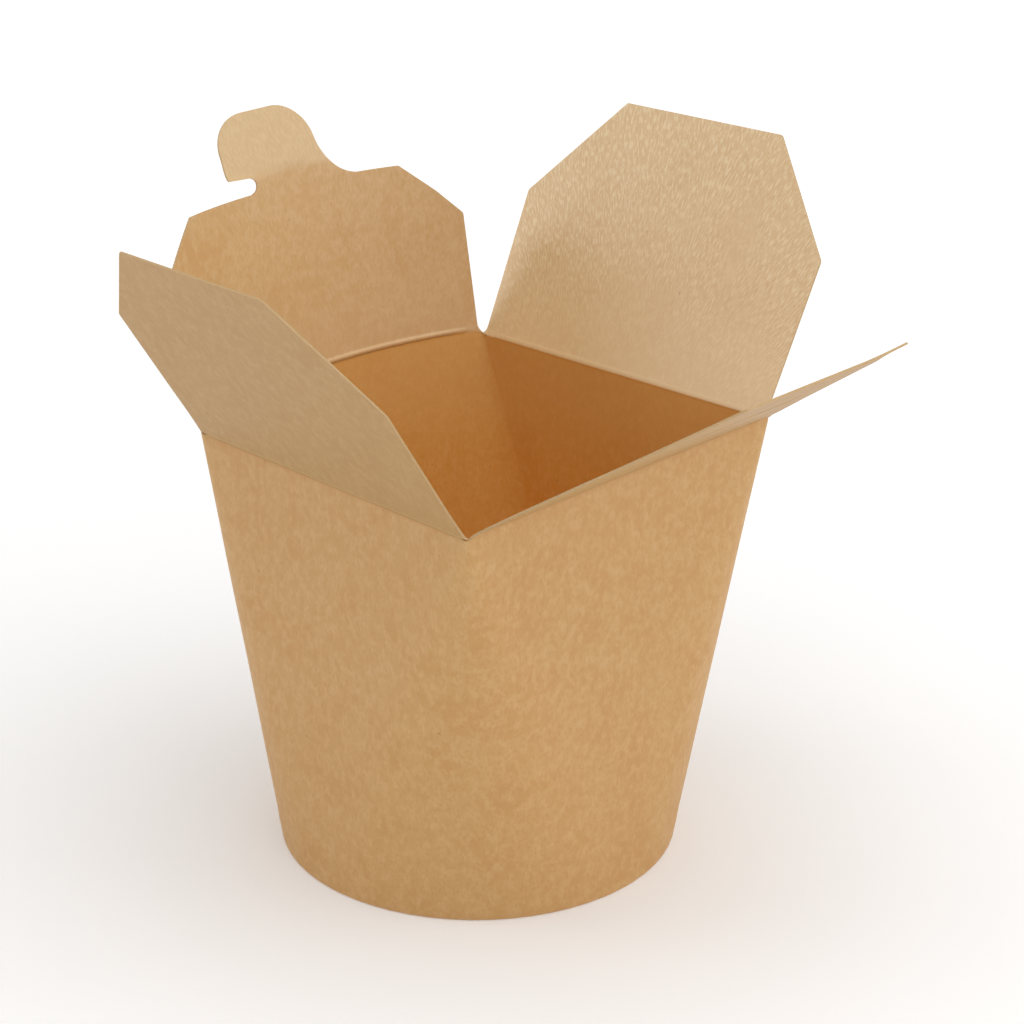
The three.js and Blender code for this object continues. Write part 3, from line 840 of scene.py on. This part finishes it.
def tabRows():
    shoulder = tab["top"] - tab["cornerRadius"]
    notchX, notchTop = tab["notchMiddle"][0], tab["notchMiddle"][1] + tab["notchRadius"]
    tipX, tipY = -tab["hookTip"][0], tab["hookTip"][1]
    rounding = tab["hookRounding"]
    rows = [neckRow(y, 0) for y in (tab["foldLine"], *tab["foldRows"], notchTop - 0.005)]
    for share in tab["hookShares"]:
        y = notchTop + (tipY - notchTop) * share
        x = -notchX + (tipX + notchX) * share
        rows.append((y, 0, -filletEdge(y), x - rounding * smooth(share, 0.8, 1.0)))
    for y in (*tab["hookRows"], shoulder):
        share = (y - tipY) / (shoulder - tipY)
        x = tipX + (-tab["hookEdge"] - tipX) * share
        rows.append((y, 0, -filletEdge(y), x - rounding * (1 - smooth(y, tipY, tipY + 0.3))))
    for k in range(1, tab["arcSteps"] + 1):
        turn = math.radians(90 * k / tab["arcSteps"] - 0.4)
        y = shoulder + tab["cornerRadius"] * math.sin(turn)
        inset = tab["cornerRadius"] * (1 - math.cos(turn))
        rows.append((y, 0, -tab["plainEdge"] + inset, -tab["hookEdge"] - inset))
    return [(level, tilt, spread(low, high, tab["columns"]), 0) for level, tilt, low, high in rows]


# middle of the tab's fold, its x, and the fold's direction
def tabBase(side):
    lean = math.radians(side["angle"])
    rise = side["out"] * math.cos(lean) + side["up"] * math.sin(lean)
    edges = (-notchEdge(tab["foldLine"]), -filletEdge(tab["foldLine"]))
    ends = []
    for x in edges:
        shift, bulge, turn = onBow(x, side)
        ends.append(side["middle"] + side["along"] * shift + side["out"] * bulge + rise * tab["foldLine"])
    across = (ends[0] - ends[1]) / np.linalg.norm(ends[0] - ends[1])
    return (ends[0] + ends[1]) / 2, sum(edges) / 2, across


# the tab's direction and place so far beyond its fold
def tabClimb(side, beyond):
    lean, turn, bend = math.radians(side["angle"]), math.radians(tab["lean"]), tab["bend"]
    last = lean - turn * min(beyond, bend) / bend
    straight = max(0.0, beyond - bend)
    outward = bend / turn * (math.sin(lean) - math.sin(last)) + straight * math.cos(last)
    upward = bend / turn * (math.cos(last) - math.cos(lean)) + straight * math.sin(last)
    rising = side["out"] * math.cos(last) + side["up"] * math.sin(last)
    return rising, side["out"] * outward + side["up"] * upward


def tabPoint(side, x, y, face):
    middle, middleX, across = tabBase(side)
    beyond = y - tab["foldLine"]
    rising, climb = tabClimb(side, beyond)
    rising = rising - across * (rising @ across)
    climb = climb - across * (climb @ across)
    outward = np.cross(across, rising / np.linalg.norm(rising))
    curl = tab["curl"] * smooth(beyond, 4, 16) * ripple(x, y, 0, tab["curlSize"], 4.1)
    flat = middle + across * (x - middleX) + outward * (face * board["thickness"] / 2 + curl)
    folded, unfolded = sheetPoint(side, x, tab["foldLine"], face)
    share = smooth(beyond, 0, 4)
    return folded * (1 - share) + flat * share + climb, unfolded + side["up"] * beyond


tabSide = flaps["tab_flap"]
tabFinishes = ["kraftUnderside", tabSide["inside"], "kraftEdge"]
flapPieces["tab_flap"] = sheetMesh("tab_flap_board", tabSide, tabFlapRows(), tabFinishes)
tabPiece = sheetMesh("closing_tab_board", tabSide, tabRows(), tabFinishes, tabPoint)
print("tab flap and closing tab cut")

for name, piece in flapPieces.items():
    side = flaps[name]
    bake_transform(piece)
    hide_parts(name)
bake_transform(tabPiece)
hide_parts("closing_tab")
print("flaps creased to the carton")


# floor, light and camera

studio = {
    "floorSize": 9.0,
    "floorColour": (0.88, 0.88, 0.88),
    "floorGlow": (0.17, 0.5),  # near the box, and far from it
    "glowReach": (0.12, 1.0),  # metres
    "world": 0.4,
    "overhead": {"place": (0.0, -0.22, 1.5), "size": 1.8, "power": 13.6},
    "front": {"place": (0.1, -1.3, 0.9), "size": 1.2, "power": 2.2},
    "frontRight": {"place": (0.9, -1.1, 0.5), "size": 1.2, "power": 3.4},
    "backLeft": {"place": (-1.1, 1.15, 0.6), "size": 0.9, "power": 3.5},
    "lampsAimAt": (0, 0, 0.08),
}


def layFloor():
    half = studio["floorSize"] / 2
    mesh = bpy.data.meshes.new("floor")
    mesh.from_pydata([(-half, -half, 0), (half, -half, 0), (half, half, 0), (-half, half, 0)], [], [(0, 1, 2, 3)])
    material = bpy.data.materials.new("palePaperFloor")
    material.use_nodes = True
    shader = material.node_tree.nodes["Principled BSDF"]
    shader.inputs["Base Color"].default_value = (*studio["floorColour"], 1)
    shader.inputs["Roughness"].default_value = 0.9
    shader.inputs["Specular IOR Level"].default_value = 0.1
    shader.inputs["Emission Color"].default_value = (1, 1, 1, 1)
    nodes, links = material.node_tree.nodes, material.node_tree.links
    spot = nodes.new("ShaderNodeNewGeometry")
    away = nodes.new("ShaderNodeVectorMath")
    away.operation = "LENGTH"
    links.new(spot.outputs["Position"], away.inputs[0])
    glow = nodes.new("ShaderNodeMapRange")
    links.new(away.outputs["Value"], glow.inputs["Value"])
    glow.inputs["From Min"].default_value, glow.inputs["From Max"].default_value = studio["glowReach"]
    glow.inputs["To Min"].default_value, glow.inputs["To Max"].default_value = studio["floorGlow"]
    links.new(glow.outputs["Result"], shader.inputs["Emission Strength"])
    mesh.materials.append(material)
    floor = bpy.data.objects.new("floor", mesh)
    bpy.context.scene.collection.objects.link(floor)


def hangLight(name, setting):
    light = bpy.data.lights.new(name, "AREA")
    light.shape = "DISK"
    light.size = setting["size"]
    light.energy = setting["power"]
    lamp = bpy.data.objects.new(name, light)
    lamp.location = setting["place"]
    aim = Vector(studio["lampsAimAt"]) - Vector(setting["place"])
    lamp.rotation_euler = aim.to_track_quat("-Z", "Y").to_euler()
    bpy.context.scene.collection.objects.link(lamp)


layFloor()
for name in ("overhead", "front", "frontRight", "backLeft"):
    hangLight(name, studio[name])
world = bpy.data.worlds.new("studio")
world.use_nodes = True
world.node_tree.nodes["Background"].inputs["Color"].default_value = (1, 1, 1, 1)
world.node_tree.nodes["Background"].inputs["Strength"].default_value = studio["world"]
bpy.context.scene.world = world
bpy.context.scene.view_settings.view_transform = "Standard"
bpy.context.scene.view_settings.look = "None"

shot = {
    "azimuth": -44.28,  # degrees, 0 looks along +Y
    "elevation": 22.16,
    "distance": 600,  # mm
    "aim": (12.11, 1.26, 72.97),  # mm, from the foot's middle
    "focal": 94.2,  # mm
    "sensor": 36,
}
azimuth, elevation = math.radians(shot["azimuth"]), math.radians(shot["elevation"])
aim = Vector((footMiddle[0] + shot["aim"][0], footMiddle[1] + shot["aim"][1], shot["aim"][2])) * mm
back = Vector((math.sin(azimuth) * math.cos(elevation), -math.cos(azimuth) * math.cos(elevation),
               math.sin(elevation)))
lens = bpy.data.cameras.new("camera")
lens.lens = shot["focal"]
lens.sensor_width = shot["sensor"]
lens.clip_start = 0.01
camera = bpy.data.objects.new("camera", lens)
camera.location = aim + back * shot["distance"] * mm
camera.rotation_euler = (-back).to_track_quat("-Z", "Y").to_euler()
bpy.context.scene.collection.objects.link(camera)
bpy.context.scene.camera = camera
print("studio lit, camera placed")
